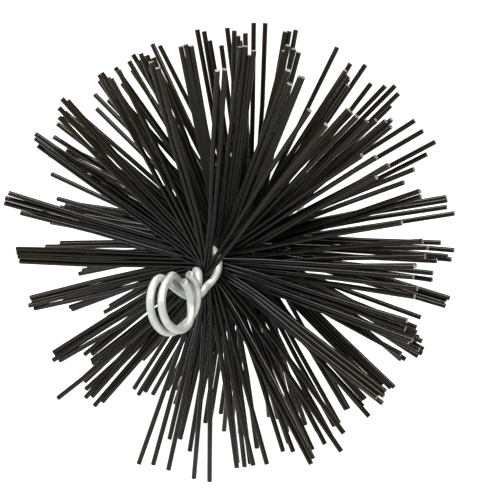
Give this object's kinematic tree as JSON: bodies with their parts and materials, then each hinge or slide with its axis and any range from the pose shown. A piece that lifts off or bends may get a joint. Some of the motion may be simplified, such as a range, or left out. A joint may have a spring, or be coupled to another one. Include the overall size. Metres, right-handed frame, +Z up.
{
  "type": "chimney sweep brush",
  "caption": "Round sweeping brush of stiff black plastic filaments pinched in a twisted galvanised wire stem that ends in round pulling eyes",
  "frame": {"origin": "on the floor below the middle of the stem, with the brush lying on its lowest bristle tips", "axes": "Y runs along the stem, with the eye nearer the camera at -Y; Z is up; X is sideways"},
  "size_m": [0.2496, 0.1948, 0.2488],
  "materials": {
    "galvanised_wire": "galvanised",
    "black_plastic": "satin"
  },
  "bodies": {
    "root": {"bristle_bundle_01": "black_plastic", "bristle_bundle_02": "black_plastic", "bristle_bundle_03": "black_plastic", "bristle_bundle_04": "black_plastic", "bristle_bundle_05": "black_plastic", "bristle_bundle_06": "black_plastic", "bristle_bundle_07": "black_plastic", "bristle_bundle_08": "black_plastic", "bristle_bundle_09": "black_plastic", "bristle_bundle_10": "black_plastic", "bristle_bundle_11": "black_plastic", "bristle_bundle_12": "black_plastic", "bristle_bundle_13": "black_plastic", "bristle_bundle_14": "black_plastic", "bristle_bundle_15": "black_plastic", "bristle_bundle_16": "black_plastic", "bristle_bundle_17": "black_plastic", "bristle_bundle_18": "black_plastic", "bristle_bundle_19": "black_plastic", "bristle_bundle_20": "black_plastic", "bristle_bundle_21": "black_plastic", "bristle_bundle_22": "black_plastic", "bristle_bundle_23": "black_plastic", "bristle_bundle_24": "black_plastic", "bristle_bundle_25": "black_plastic", "bristle_bundle_26": "black_plastic", "bristle_bundle_27": "black_plastic", "bristle_bundle_28": "black_plastic", "bristle_bundle_29": "black_plastic", "bristle_bundle_30": "black_plastic", "bristle_bundle_31": "black_plastic", "bristle_bundle_32": "black_plastic", "bristle_bundle_33": "black_plastic", "bristle_bundle_34": "black_plastic", "bristle_bundle_35": "black_plastic", "bristle_bundle_36": "black_plastic", "bristle_bundle_37": "black_plastic", "bristle_bundle_38": "black_plastic", "bristle_bundle_39": "black_plastic", "bristle_bundle_40": "black_plastic", "bristle_bundle_41": "black_plastic", "stem_wire_a": "galvanised_wire", "stem_wire_b": "galvanised_wire"}
  },
  "joints": []
}
